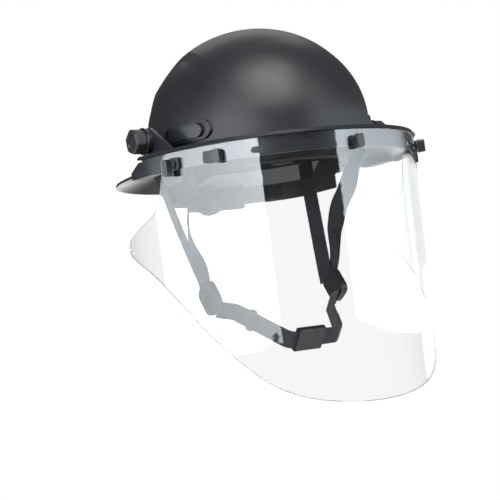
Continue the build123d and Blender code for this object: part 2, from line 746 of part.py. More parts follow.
# --- Chin strap: adjusters, cam levers, side straps ---
for side, sign in SIDES.items():
    face = Plane(
        origin=(sign * ADJUSTER_IN, ADJUSTER_Y, ADJUSTER_Z),
        x_dir=(0, cos(radians(ADJUSTER_TILT)), -sin(radians(ADJUSTER_TILT))),
        z_dir=(sign, 0, 0),
    )
    flip = sign                    # local Y runs up on one side and down on the other
    with BuildPart() as body:
        with BuildSketch(face):
            RectangleRounded(ADJUSTER_W, ADJUSTER_L, 8.0)
        extrude(amount=ADJUSTER_T)
        outer_face = body.faces().sort_by(Axis.X)[-1 if sign > 0 else 0]
        fillet(outer_face.edges(), 1.6)
        with BuildSketch(face.offset(ADJUSTER_T)):
            with Locations((0, flip * 7.0)):
                Circle(5.4)
                Circle(3.8, mode=Mode.SUBTRACT)
        extrude(amount=0.8)
        with BuildSketch(face.offset(CAM_FLOOR)):
            with Locations((0, flip * (CAM_AXIS - 10.0))):
                Rectangle(CAM_W + 0.8, 24.0)
        extrude(amount=10, mode=Mode.SUBTRACT)
        cam_axis_plane = Plane(
            origin=face.from_local_coords((0, flip * CAM_AXIS, CAM_FLOOR + CAM_T / 2 + 0.3)),
            x_dir=(sign, 0, 0),
            z_dir=face.x_dir,
        )
        with BuildSketch(cam_axis_plane):
            Circle(1.2)
        extrude(amount=CAM_W / 2 + 2.4, both=True, mode=Mode.SUBTRACT)
    keep(f"side_adjuster_{side}", body.part)

    with BuildPart() as cam:
        with BuildSketch(cam_axis_plane):
            Circle(CAM_T / 2)
        extrude(amount=CAM_W / 2, both=True)
        with BuildSketch(cam_axis_plane):
            Circle(1.0)
        extrude(amount=CAM_W / 2 + 2.0, both=True)
        with BuildSketch(face.offset(CAM_FLOOR + 0.3)):
            with Locations((0, flip * (CAM_AXIS - 7.0))):
                RectangleRounded(CAM_W, 14.0, 2.5)
        extrude(amount=CAM_T)
    keep(f"cam_lever_{side}", cam.part)

    for place, (foot_x, foot_y, foot_z, bow) in SIDE_STRAPS.items():
        top = strap_tops[place, side]
        foot = Vector(sign * foot_x, foot_y, foot_z)
        along = (foot - top).normalized()
        outward = strap_facings[place, side]
        normal = (outward - along * outward.dot(along)).normalized()
        run = (foot - top).length
        ribbon_plane = Plane(origin=top, x_dir=along, z_dir=normal)
        rearward = 1 if ribbon_plane.y_dir.Y > 0 else -1
        with BuildPart() as side_strap:
            with BuildSketch(ribbon_plane.offset(-WEB_T / 2)):
                with BuildLine():
                    ThreePointArc((0, 0), (run * 0.5, rearward * bow), (run + 6, 0))
                trace(line_width=WEB_W)
            extrude(amount=WEB_T)
            add(parts[f"side_adjuster_{side}"], mode=Mode.SUBTRACT)
            add(parts[f"strap_anchor_{place}_{side}"], mode=Mode.SUBTRACT)
        keep(f"side_strap_{place}_{side}", side_strap.part)

# --- Chin webbing, keeper and buckle ---
tilt = radians(CHIN_TILT)
chin_plane = Plane(
    origin=(0, CHIN_Y, CHIN_Z), x_dir=(1, 0, 0), z_dir=(0, -sin(tilt), cos(tilt))
)


def webbing(route, radius):
    """Webbing that stands on edge along a route in the chin plane."""
    with BuildPart() as strip:
        with BuildSketch(chin_plane.offset(-WEB_W / 2)):
            with BuildLine():
                FilletPolyline(*route, radius=radius)
            trace(line_width=WEB_T)
        extrude(amount=WEB_W)
    return strip.part


chin_right = webbing(
    [(-CHIN_START, 3), (-CHIN_KNEE, -4), (CHIN_RIGHT, -CHIN_REACH), (BUCKLE_START + 4, -CHIN_REACH)],
    CHIN_BEND,
)
chin_left = webbing(
    [(BUCKLE_END - 0.4, -CHIN_REACH), (CHIN_LEFT, -CHIN_REACH), (CHIN_KNEE, -4), (CHIN_START, 3)],
    CHIN_BEND_LEFT,
)
for side, strip in (("right", chin_right), ("left", chin_left)):
    with BuildPart() as chin_strap:
        add(strip)
        add(parts[f"side_adjuster_{side}"], mode=Mode.SUBTRACT)
        add(parts[f"cam_lever_{side}"], mode=Mode.SUBTRACT)
    keep(f"chin_strap_{side}", chin_strap.part)

slope = Vector(CHIN_RIGHT + CHIN_KNEE, -CHIN_REACH + 4, 0).normalized()
keeper_spot = Vector(-CHIN_KNEE, -4, 0) + slope * KEEPER_RUN
keeper_dir = chin_plane.x_dir * slope.X + chin_plane.y_dir * slope.Y
keeper_plane = Plane(
    origin=chin_plane.from_local_coords((keeper_spot.X, keeper_spot.Y, 0)),
    x_dir=chin_plane.z_dir,
    z_dir=keeper_dir,
)
with BuildPart() as strap_keeper:
    with BuildSketch(keeper_plane):
        RectangleRounded(WEB_W + 3.4, WEB_T + 3.4, 1.2)
        Rectangle(WEB_W + 0.8, WEB_T + 0.8, mode=Mode.SUBTRACT)
    extrude(amount=KEEPER_L / 2, both=True)
keep("strap_keeper", strap_keeper.part)


def buckle_plane(x):
    """A plane across the buckle: local X runs across the webbing's width."""
    return Plane(
        origin=chin_plane.from_local_coords((x, -CHIN_REACH, 0)),
        x_dir=chin_plane.z_dir,
        z_dir=(1, 0, 0),
    )


with BuildPart() as buckle_socket:
    with BuildSketch(buckle_plane(BUCKLE_START)):
        RectangleRounded(BUCKLE_W, BUCKLE_T, 2.4)
    extrude(amount=BUCKLE_MID - BUCKLE_START)
    with BuildSketch(buckle_plane(BUCKLE_START)):
        Rectangle(WEB_W + 0.2, WEB_T + 0.2)
    extrude(amount=4.0, mode=Mode.SUBTRACT)
    with BuildSketch(buckle_plane(BUCKLE_MID)):
        Rectangle(BUCKLE_W - 4.0, 4.2)
    extrude(amount=-12.5, mode=Mode.SUBTRACT)
keep("buckle_socket", buckle_socket.part)

with BuildPart() as buckle_plug:
    with BuildSketch(buckle_plane(BUCKLE_MID + GAP)):
        RectangleRounded(BUCKLE_W, BUCKLE_T, 2.4)
    extrude(amount=BUCKLE_END - BUCKLE_MID - GAP)
    with BuildSketch(buckle_plane(BUCKLE_END)):
        Rectangle(WEB_W + 0.8, WEB_T + 0.8)
    extrude(amount=-(BUCKLE_RELEASE + 0.9), mode=Mode.SUBTRACT)
    with BuildSketch(buckle_plane(BUCKLE_MID + GAP)):
        for across, width in ((-7.6, 3.2), (0, 5.0), (7.6, 3.2)):
            with Locations((across, 0)):
                Rectangle(width, 3.4)
    extrude(amount=-11.5)
keep("buckle_plug", buckle_plug.part)

os.makedirs("parts", exist_ok=True)
for name, part in parts.items():
    export_step(part, f"parts/{name}.step")
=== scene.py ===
import bpy
import json
import math
import bmesh
from mathutils import Matrix, Vector


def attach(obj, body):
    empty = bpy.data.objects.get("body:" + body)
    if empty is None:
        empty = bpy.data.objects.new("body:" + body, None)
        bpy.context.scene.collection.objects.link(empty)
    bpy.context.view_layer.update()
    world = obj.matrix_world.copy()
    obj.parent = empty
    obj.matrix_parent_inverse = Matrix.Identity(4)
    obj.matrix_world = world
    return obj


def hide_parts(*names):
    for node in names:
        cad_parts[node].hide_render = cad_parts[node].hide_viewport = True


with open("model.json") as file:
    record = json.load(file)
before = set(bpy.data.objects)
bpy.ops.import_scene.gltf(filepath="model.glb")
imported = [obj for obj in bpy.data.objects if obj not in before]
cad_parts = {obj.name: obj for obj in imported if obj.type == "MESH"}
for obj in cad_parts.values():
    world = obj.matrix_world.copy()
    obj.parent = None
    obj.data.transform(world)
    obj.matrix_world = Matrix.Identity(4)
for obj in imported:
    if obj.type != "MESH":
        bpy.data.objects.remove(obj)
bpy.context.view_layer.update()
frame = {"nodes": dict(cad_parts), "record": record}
nodes = frame["nodes"]
MM = 0.001
SIDES = {"right": -1, "left": 1}


# --- Node helpers ---
class Tree:
    """A material's node tree with short calls for the nodes used here."""

    def __init__(self, name):
        self.material = bpy.data.materials.new(name)
        self.material.use_nodes = True
        self.nodes = self.material.node_tree.nodes
        self.links = self.material.node_tree.links
        self.shader = self.nodes["Principled BSDF"]
        self.output = self.nodes["Material Output"]

    def add(self, kind, **values):
        node = self.nodes.new(kind)
        for key, value in values.items():
            if key in node.inputs:
                node.inputs[key].default_value = value
            else:
                setattr(node, key, value)
        return node

    def link(self, a, b):
        self.links.new(a, b)

    def coords(self, scale=(1, 1, 1), kind="Object"):
        source = self.add("ShaderNodeTexCoord")
        mapping = self.add("ShaderNodeMapping")
        mapping.inputs["Scale"].default_value = scale
        self.link(source.outputs[kind], mapping.inputs["Vector"])
        return mapping.outputs["Vector"]

    def noise(self, vector, scale, detail=4.0, roughness=0.55):
        node = self.add("ShaderNodeTexNoise", Scale=scale, Detail=detail, Roughness=roughness)
        self.link(vector, node.inputs["Vector"])
        return node.outputs["Fac"]

    def remap(self, value, low, high, source=(0.3, 0.7)):
        node = self.add("ShaderNodeMapRange")
        node.inputs["From Min"].default_value = source[0]
        node.inputs["From Max"].default_value = source[1]
        node.inputs["To Min"].default_value = low
        node.inputs["To Max"].default_value = high
        self.link(value, node.inputs["Value"])
        return node.outputs["Result"]

    def math(self, operation, a, b):
        node = self.add("ShaderNodeMath", operation=operation)
        for socket, value in zip(node.inputs, (a, b)):
            if isinstance(value, (int, float)):
                socket.default_value = value
            else:
                self.link(value, socket)
        return node.outputs["Value"]

    def mix(self, factor, a, b):
        node = self.add("ShaderNodeMix", data_type="RGBA")
        self.link(factor, node.inputs["Factor"])
        for key, value in (("A", a), ("B", b)):
            socket = [s for s in node.inputs if s.name == key and s.type == "RGBA"][0]
            socket.default_value = (*value, 1)
        return [s for s in node.outputs if s.type == "RGBA"][0]

    def bump(self, height, distance):
        node = self.add("ShaderNodeBump", Distance=distance)
        self.link(height, node.inputs["Height"])
        return node.outputs["Normal"]


COLOUR_DRIFT = 0.12        # how far moulded colour wanders either way


def plastic(name, colour, rough, grain, depth, spread=0.05, under=None):
    """Moulded plastic: fine grain, slow changes in gloss and colour, and a smoother underside."""
    t = Tree(name)
    v = t.coords()
    fine = t.noise(v, grain, 3.0)
    slow = t.noise(v, 14.0, 3.0)
    scuff = t.noise(t.coords((1, 1, 0.25)), 90.0, 6.0, 0.7)
    lighter = [c * (1 + COLOUR_DRIFT) + 0.002 for c in colour]
    darker = [c * (1 - COLOUR_DRIFT) for c in colour]
    t.link(t.mix(t.remap(slow, 0, 1), darker, lighter), t.shader.inputs["Base Color"])
    gloss = t.math("ADD", t.remap(slow, rough - spread, rough + spread), t.remap(scuff, 0, spread * 0.6))
    t.link(gloss, t.shader.inputs["Roughness"])
    t.link(t.bump(fine, depth), t.shader.inputs["Normal"])
    if under is not None:
        # faces that look down keep the mould's polish
        split = t.add("ShaderNodeSeparateXYZ")
        t.link(t.add("ShaderNodeTexCoord").outputs["Normal"], split.inputs["Vector"])
        down = t.remap(split.outputs["Z"], 1.0, 0.0, (-0.5, -0.2))
        blend = t.add("ShaderNodeMix", data_type="FLOAT")
        t.link(down, blend.inputs["Factor"])
        t.link(gloss, blend.inputs["A"])
        blend.inputs["B"].default_value = under
        t.link(blend.outputs["Result"], t.shader.inputs["Roughness"])
    return t.material


def fabric(name, colour, along, across, depth):
    """Woven webbing: threads along and across the band in its UV frame, in metres."""
    t = Tree(name)
    v = t.coords((1, 1, 1), "UV")
    warp = t.add("ShaderNodeTexWave", wave_type="BANDS", bands_direction="Y", Scale=across)
    weft = t.add("ShaderNodeTexWave", wave_type="BANDS", bands_direction="DIAGONAL", Scale=along)
    for node in (warp, weft):
        node.inputs["Distortion"].default_value = 0.6
        node.inputs["Detail"].default_value = 1.0
        t.link(v, node.inputs["Vector"])
    height = t.math("ADD", t.math("MULTIPLY", warp.outputs["Fac"], 0.7), weft.outputs["Fac"])
    fuzz = t.noise(t.coords(), 900.0, 3.0)
    height = t.math("ADD", height, t.math("MULTIPLY", fuzz, 0.5))
    # painted shade: the colour follows the weave's height, so the raised threads are painted lighter and
    # the grooves between them darker, on top of the bump
    lighter = [c * 1.9 + 0.006 for c in colour]
    t.link(t.mix(t.remap(height, 0, 1, (0.4, 1.9)), colour, lighter), t.shader.inputs["Base Color"])
    t.link(t.remap(fuzz, 0.72, 0.9), t.shader.inputs["Roughness"])
    t.link(t.bump(height, depth), t.shader.inputs["Normal"])
    t.shader.inputs["Sheen Weight"].default_value = 0.25
    t.shader.inputs["Sheen Roughness"].default_value = 0.4
    return t.material


def cloth(name, colour):
    """Cloth-faced foam: a fine knit with soft sheen."""
    t = Tree(name)
    v = t.coords()
    knit = t.add("ShaderNodeTexVoronoi", Scale=900.0)
    t.link(v, knit.inputs["Vector"])
    slow = t.noise(v, 60.0)
    t.link(t.mix(t.remap(slow, 0, 1), colour, [c * 1.7 for c in colour]), t.shader.inputs["Base Color"])
    t.link(t.remap(slow, 0.8, 0.95), t.shader.inputs["Roughness"])
    t.link(t.bump(knit.outputs["Distance"], 0.0003), t.shader.inputs["Normal"])
    t.shader.inputs["Sheen Weight"].default_value = 0.3
    return t.material


def metal(name, colour):
    """Brushed plated metal."""
    t = Tree(name)
    v = t.coords((1, 8, 8))
    brushed = t.noise(v, 260.0, 3.0)
    t.link(t.mix(t.remap(brushed, 0, 1), [c * 0.8 for c in colour], colour), t.shader.inputs["Base Color"])
    t.link(t.remap(brushed, 0.25, 0.42), t.shader.inputs["Roughness"])
    t.link(t.bump(brushed, 0.00005), t.shader.inputs["Normal"])
    t.shader.inputs["Metallic"].default_value = 1.0
    return t.material


def clear_sheet(name, half_width, half_length):
    """Clear polished sheet bent to an ellipse: see-through, with a surface reflection that
    grows at a glance, and cut edges that gather light."""
    t = Tree(name)
    t.nodes.remove(t.shader)
    geometry = t.add("ShaderNodeNewGeometry")
    # the same index from both sides of each face, so that the inside doesn't turn into a mirror
    index = t.add("ShaderNodeMix", data_type="FLOAT")
    t.link(geometry.outputs["Backfacing"], index.inputs["Factor"])
    index.inputs["A"].default_value = SHEET_INDEX
    index.inputs["B"].default_value = 1 / SHEET_INDEX
    fresnel = t.add("ShaderNodeFresnel")
    t.link(index.outputs["Result"], fresnel.inputs["IOR"])
    gloss = t.add("ShaderNodeBsdfGlossy", Color=(1, 1, 1, 1))
    smear = t.noise(t.coords((1, 1, 0.4)), 22.0, 3.0)
    t.link(t.remap(smear, 0.012, 0.03), gloss.inputs["Roughness"])
    # how far a face's normal lies along the sheet's own: about 1 on the sheet, 0 on a cut edge
    outward = t.add("ShaderNodeVectorMath", operation="MULTIPLY")
    t.link(t.add("ShaderNodeTexCoord").outputs["Object"], outward.inputs[0])
    outward.inputs[1].default_value = (half_width ** -2, half_length ** -2, 0)
    unit = t.add("ShaderNodeVectorMath", operation="NORMALIZE")
    t.link(outward.outputs["Vector"], unit.inputs[0])
    facing = t.add("ShaderNodeVectorMath", operation="DOT_PRODUCT")
    t.link(unit.outputs["Vector"], facing.inputs[0])
    t.link(geometry.outputs["True Normal"], facing.inputs[1])
    is_edge = t.math("LESS_THAN", t.math("ABSOLUTE", facing.outputs["Value"], 0.0), 0.6)
    tint = t.mix(is_edge, (0.995, 0.997, 0.998), (0.62, 0.68, 0.7))
    through = t.add("ShaderNodeBsdfTransparent")
    t.link(tint, through.inputs["Color"])
    mirror = t.math("MAXIMUM", fresnel.outputs["Fac"], t.math("MULTIPLY", is_edge, 0.3))
    mix = t.add("ShaderNodeMixShader")
    t.link(mirror, mix.inputs["Fac"])
    t.link(through.outputs["BSDF"], mix.inputs[1])
    t.link(gloss.outputs["BSDF"], mix.inputs[2])
    t.link(mix.outputs["Shader"], t.output.inputs["Surface"])
    return t.material


SHEET_INDEX = 1.5
VISOR_HALF_WIDTH = 0.1471
VISOR_HALF_LENGTH = 0.1559
MATERIALS = {
    "shell_black": plastic("shell_plastic", (0.0115, 0.012, 0.0145), 0.42, 900.0, 0.00006, 0.03,
                           under=0.13),
    "frame_black": plastic("frame_plastic", (0.016, 0.018, 0.024), 0.3, 700.0, 0.00003),
    "hardware_black": plastic("hardware_plastic", (0.017, 0.017, 0.019), 0.42, 800.0, 0.00008),
    "buckle_black": plastic("buckle_plastic", (0.014, 0.014, 0.016), 0.3, 600.0, 0.00004),
    "suspension_plastic": plastic("suspension_plastic", (0.02, 0.02, 0.023), 0.48, 700.0, 0.00005),
    "visor_clear": clear_sheet("visor_sheet", VISOR_HALF_WIDTH, VISOR_HALF_LENGTH),
    "pad_foam": cloth("pad_cloth", (0.018, 0.018, 0.02)),
    "webbing_black": fabric("webbing_weave", (0.008, 0.009, 0.013), 340.0, 300.0, 0.00012),
    "steel": metal("zinc_steel", (0.62, 0.62, 0.64)),
}
slots = {row["node"]: row["material_slot"] for row in frame["record"]["subparts"]}
for node_name, node in nodes.items():
    node.data.materials.clear()
    node.data.materials.append(MATERIALS[slots[node_name]])


# --- Mesh helpers ---
def smooth_piece(name, verts, faces, uvs, body, slot, material, node=None):
    """A closed smooth mesh from rings of points, riding on a body."""
    mesh = bpy.data.meshes.new(name)
    mesh.from_pydata([tuple(v) for v in verts], [], faces)
    layer = mesh.uv_layers.new(name="UVMap")
    for loop in mesh.loops:
        layer.data[loop.index].uv = uvs[loop.vertex_index]
    bm = bmesh.new()
    bm.from_mesh(mesh)
    bmesh.ops.recalc_face_normals(bm, faces=bm.faces)
    bm.to_mesh(mesh)
    bm.free()
    for polygon in mesh.polygons:
        polygon.use_smooth = True
    mesh.materials.append(material)
    piece = bpy.data.objects.new(name, mesh)
    bpy.context.scene.collection.objects.link(piece)
    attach(piece, body)
    if node:
        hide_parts(node)
    return piece


def skin(rings, uv_rings):
    """Vertices, faces and UVs of a closed tube through rings of points, with domed ends."""
    count = len(rings[0])
    verts = [point for ring in rings for point in ring]
    uvs = [uv for ring in uv_rings for uv in ring]
    faces = []
    for i in range(len(rings) - 1):
        for j in range(count):
            k = (j + 1) % count
            faces.append((i * count + j, i * count + k, (i + 1) * count + k, (i + 1) * count + j))
    for i, ring in ((0, rings[0]), (len(rings) - 1, rings[-1])):
        centre = sum(ring, Vector()) / count
        verts.append(centre)
        uvs.append(uv_rings[i][0])
        hub = len(verts) - 1
        for j in range(count):
            faces.append((i * count + j, i * count + (j + 1) % count, hub))
    return verts, faces, uvs


def run_lengths(points):
    """Distance along a row of points, at each of them."""
    run = [0.0]
    for a, b in zip(points, points[1:]):
        run.append(run[-1] + (b - a).length)
    return run


# --- Webbing ---
# outline from the edge to the middle of the upper face, as parts of half the width and thickness
SELVEDGE = [(1.0, 0.0), (0.985, 0.55), (0.95, 0.9), (0.88, 1.0), (0.81, 0.9), (0.77, 0.66), (0.72, 0.8),
            (0.5, 0.9), (0.25, 0.86), (0.0, 0.9)]


def webbing_section(width, thickness):
    """Outline across a woven strap: a rib along each edge with a fine groove inside it."""
    quarter = [(x * width / 2, y * thickness / 2) for x, y in SELVEDGE]
    top = quarter + [(-x, y) for x, y in quarter[-2:0:-1]]
    bottom = [(-x, -y) for x, y in quarter] + [(x, -y) for x, y in quarter[-2:0:-1]]
    return top + bottom


def webbing_mesh(path, width, thickness, lift=lambda s, total: 0.0):
    """Strap along a path of (point, width direction, face direction), all in metres."""
    section = webbing_section(width, thickness)
    rings, uv_rings = [], []
    run = run_lengths([point for point, _, _ in path])
    for (point, across, face), s in zip(path, run):
        ripple = 0.00005 * math.sin(s * 310.0) + 0.00004 * math.sin(s * 710.0 + 1.0)
        edge = 1 + 0.006 * math.sin(s * 420.0) + 0.004 * math.sin(s * 930.0)
        offset = lift(s, run[-1]) + ripple
        rings.append([point + across * (x * edge) + face * (y + offset) for x, y in section])
        uv_rings.append([(s, x) for x, _ in section])
    return skin(rings, uv_rings)


def box_stitch(start, end, half):
    """Seam lines of a sewn box with a cross, as pairs of (along, across)."""
    corners = [(start, -half), (end, -half), (end, half), (start, half)]
    lines = [(corners[i], corners[(i + 1) % 4]) for i in range(4)]
    return lines + [(corners[0], corners[2]), (corners[1], corners[3])]


def stitch_mesh(path, lines, height, pitch=0.0026, radius=0.0003):
    """Separate raised stitches along seam lines on one face of a strap's path."""
    run = run_lengths([point for point, _, _ in path])

    def spot(along, across):
        along = min(max(along, 0.0), run[-1])
        i = max(k for k in range(len(run) - 1) if run[k] <= along)
        f = (along - run[i]) / (run[i + 1] - run[i])
        point = path[i][0].lerp(path[i + 1][0], f)
        return point + path[i][1] * across + path[i][2] * height, path[i][2]

    verts, faces, uvs = [], [], []
    for (a0, c0), (a1, c1) in lines:
        length = math.hypot(a1 - a0, c1 - c0)
        count = max(2, round(length / pitch))
        for n in range(count):
            ends = [(n + f) / count for f in (0.1, 0.9)]
            (p, normal), (q, _) = [spot(a0 + (a1 - a0) * f, c0 + (c1 - c0) * f) for f in ends]
            along = (q - p).normalized()
            side = normal.cross(along)
            rings = []
            for f, size in ((0.0, 0.35), (0.15, 0.8), (0.5, 1.0), (0.85, 0.8), (1.0, 0.35)):
                middle = p.lerp(q, f) - normal * (radius * 0.9 * (2 * f - 1) ** 2)
                rings.append([
                    middle + (side * math.cos(t) + normal * math.sin(t)) * radius * size
                    for t in [math.tau * k / 6 for k in range(6)]
                ])
            v, f_list, u = skin(rings, [[(0, 0)] * 6 for _ in rings])
            base = len(verts)
            verts += v
            uvs += u
            faces += [tuple(i + base for i in face) for face in f_list]
    return verts, faces, uvs


def merge(*meshes):
    """Several meshes as one, kept apart in space."""
    verts, faces, uvs = [], [], []
    for v, f, u in meshes:
        base = len(verts)
        verts += v
        uvs += u
        faces += [tuple(i + base for i in face) for face in f]
    return verts, faces, uvs


WEB = MATERIALS["webbing_black"]
THREAD = cloth("bonded_thread", (0.03, 0.03, 0.034))
WEB_W = 0.019
WEB_T = 0.0014
PLY = 0.00088         # one layer where the strap lies double
PLY_SHIFT = 0.00048

# on the left side: a side strap's top, the way it faces there, its foot and its rearward bow
SIDE_STRAPS = {
    "front": ((0.09568, -0.03932, 0.0007), (0.985, -0.174, 0), (0.0760, 0.010, -0.120), 0.021),
    "rear": ((0.08979, 0.05737, 0.0007), (0.972, 0.236, 0), (0.0726, 0.020, -0.123), 0.001),
}
STRAP_TWIST = math.radians(42.0)
STRAP_SWAY = 0.0055        # how far a turned strap wanders forward


def bell(f, start, rise, fall, end):
    """A smooth step up from start to rise and down from fall to end."""
    up = min(max((f - start) / (rise - start), 0.0), 1.0)
    down = min(max((end - f) / (end - fall), 0.0), 1.0)
    return (3 * up ** 2 - 2 * up ** 3) * (3 * down ** 2 - 2 * down ** 3)


def side_strap_path(top, facing, foot, bow, sign):
    """Path of a side strap from its anchor to its adjuster; a bowed one also turns its edge outward."""
    top = Vector((sign * top[0], top[1], top[2]))
    foot = Vector((sign * foot[0], foot[1], foot[2]))
    facing = Vector((sign * facing[0], facing[1], 0))
    along = (foot - top).normalized()
    face = (facing - along * facing.dot(along)).normalized()
    across = face.cross(along)
    rearward = 1 if across.y > 0 else -1
    run = (foot - top).length + 0.006
    count = 70
    path = []
    for i in range(count + 1):
        f = i / count
        point = top + along * (run * f) + across * (rearward * bow * 4 * f * (1 - f))
        slope = rearward * bow * 4 * (1 - 2 * f) / run
        heading = (along + across * slope).normalized()
        belly = 0.0007 * math.sin(math.pi * f) ** 2
        angle = 0.0
        if bow > 0.01:
            angle = -sign * STRAP_TWIST * bell(f, 0.04, 0.3, 0.5, 0.86)
            sway = bell(f, 0.1, 0.3, 0.34, 0.5) + bell(f, 0.66, 0.82, 0.86, 1.0)
            point -= across * (rearward * STRAP_SWAY * sway)
        turned = Matrix.Rotation(angle, 3, heading) @ face
        path.append((point + face * belly, turned.cross(heading), turned))
    return path


for side, sign in SIDES.items():
    for place_name, (top, facing, foot, bow) in SIDE_STRAPS.items():
        path = side_strap_path(top, facing, foot, bow, sign)
        strap = webbing_mesh(path, WEB_W, WEB_T)
        # the strap folds back below its anchor and is sewn down
        fold = webbing_mesh([(p + f * 0.00115, a * 0.99, f) for p, a, f in path[:14]], WEB_W, PLY)
        name = f"side_strap_{place_name}_{side}"
        smooth_piece(f"{name}_webbing", *merge(strap, fold), "hat", "webbing_black", WEB, name)
        seams = box_stitch(0.004, 0.0215, 0.0068)
        threads = stitch_mesh(path, seams, 0.00175)
        smooth_piece(f"{name}_stitches", *threads, "hat", "webbing_black", THREAD)


# the chin webbing runs on edge in a plane tilted down to the front
CHIN_TILT = math.radians(38.0)
CHIN_ORIGIN = Vector((0, -0.001, -0.148))
CHIN_Y_DIR = Vector((0, math.cos(CHIN_TILT), math.sin(CHIN_TILT)))
CHIN_Z_DIR = Vector((0, -math.sin(CHIN_TILT), math.cos(CHIN_TILT)))


def rounded(route, radius, step=0.0015):
    """Flat path along straight runs with rounded corners: (x, y, heading x, heading y)."""
    points = [Vector(p) * MM for p in route]
    radius *= MM
    out = []

    def straight(a, b):
        count = max(1, round((b - a).length / step))
        heading = (b - a).normalized()
        for i in range(count):
            p = a.lerp(b, i / count)
            out.append((p.x, p.y, heading.x, heading.y))

    here = points[0]
    for before, corner, after in zip(points, points[1:], points[2:]):
        u, v = (corner - before).normalized(), (after - corner).normalized()
        turn = math.atan2(u.x * v.y - u.y * v.x, u.dot(v))
        reach = radius * math.tan(abs(turn) / 2)
        straight(here, corner - u * reach)
        side = 1 if turn > 0 else -1
        centre = corner - u * reach + Vector((-u.y, u.x)) * radius * side
        count = max(3, round(abs(turn) * radius / step))
        for i in range(count):
            angle = turn * i / count
            heading = Vector((u.x * math.cos(angle) - u.y * math.sin(angle),
                              u.x * math.sin(angle) + u.y * math.cos(angle)))
            p = centre - Vector((-heading.y, heading.x)) * radius * side
            out.append((p.x, p.y, heading.x, heading.y))
        here = corner + v * reach
    straight(here, points[-1])
    out.append((points[-1].x, points[-1].y, v.x, v.y))
    return out


def chin_path(route, radius, outward):
    """Webbing on edge in the chin plane, its face turned to the given side of the route."""
    path = []
    for x, y, hx, hy in rounded(route, radius):
        point = CHIN_ORIGIN + Vector((x, 0, 0)) + CHIN_Y_DIR * y
        face = (Vector((-hy, 0, 0)) + CHIN_Y_DIR * hx) * outward
        path.append((point, CHIN_Z_DIR, face))
    return path


TAIL_RISE = 0.0010         # how far the loose end stands off, and over what length
TAIL_CURL = 0.0042
TAIL_START = 14            # steps of the path above the loose end


def tail_lift(s, total):
    """A loose end stands off the strap under it."""
    return TAIL_RISE * max(0.0, 1 - s / TAIL_CURL) ** 2


right_path = chin_path([(-71.5, 3), (-55, -4), (-25, -58), (-13, -58)], 9, -1)
right_main = webbing_mesh([(p - f * PLY_SHIFT, a, f) for p, a, f in right_path], WEB_W, PLY)
tail_path = [(p + f * PLY_SHIFT, a * 0.985, f) for p, a, f in right_path[TAIL_START:]]
right_tail = webbing_mesh(tail_path, WEB_W, PLY, tail_lift)
smooth_piece("chin_strap_right_webbing", *merge(right_main, right_tail), "hat", "webbing_black", WEB,
             "chin_strap_right")
hem = [((0.0013, -0.0078), (0.0013, 0.0078)), ((0.0026, -0.0078), (0.0026, 0.0078))]
smooth_piece("chin_strap_right_stitches", *stitch_mesh(
    [(p + f * tail_lift(0.002, 0), a, f) for p, a, f in tail_path], hem, 0.0005), "hat", "webbing_black",
    THREAD)

left_path = chin_path([(11.6, -58), (34, -58), (55, -4), (71.5, 3)], 8, -1)
left_main = webbing_mesh([(p - f * PLY_SHIFT, a, f) for p, a, f in left_path], WEB_W, PLY)
left_fold = webbing_mesh([(p + f * PLY_SHIFT, a * 0.985, f) for p, a, f in left_path[:30]], WEB_W, PLY)
smooth_piece("chin_strap_left_webbing", *merge(left_main, left_fold), "hat", "webbing_black", WEB,
             "chin_strap_left")
smooth_piece("chin_strap_left_stitches", *stitch_mesh(
    left_path, box_stitch(0.023, 0.040, 0.0068), 0.00114), "hat", "webbing_black", THREAD)

CROWN_CENTRE = 0.010       # height of the crown straps' ends
CROWN_SPAN = 0.0993        # from the middle to an end
CROWN_RISE = 0.0813
CROWN_W = 0.020
for name, angle, rise in (("crown_strap_a", 45.0, 0.0), ("crown_strap_b", 135.0, 0.0018)):
    t = math.radians(angle)
    outward = Vector((math.sin(t), -math.cos(t), 0))
    across = Vector((-math.cos(t), -math.sin(t), 0))
    half_span, height = CROWN_SPAN + rise, CROWN_RISE + rise
    path = []
    for i in range(161):
        a = math.pi * i / 160
        point = outward * (half_span * math.cos(a)) + Vector((0, 0, CROWN_CENTRE + height * math.sin(a)))
        normal = (outward * (math.cos(a) / half_span) + Vector((0, 0, math.sin(a) / height))).normalized()
        path.append((point, across, normal))
    smooth_piece(f"{name}_webbing", *webbing_mesh(path, CROWN_W, WEB_T), "hat", "webbing_black", WEB, name)
    seams = box_stitch(0.010, 0.026, 0.007)
    smooth_piece(f"{name}_stitches", *stitch_mesh([(p, a, -n) for p, a, n in path], seams, 0.0008),
                 "hat", "webbing_black", THREAD)


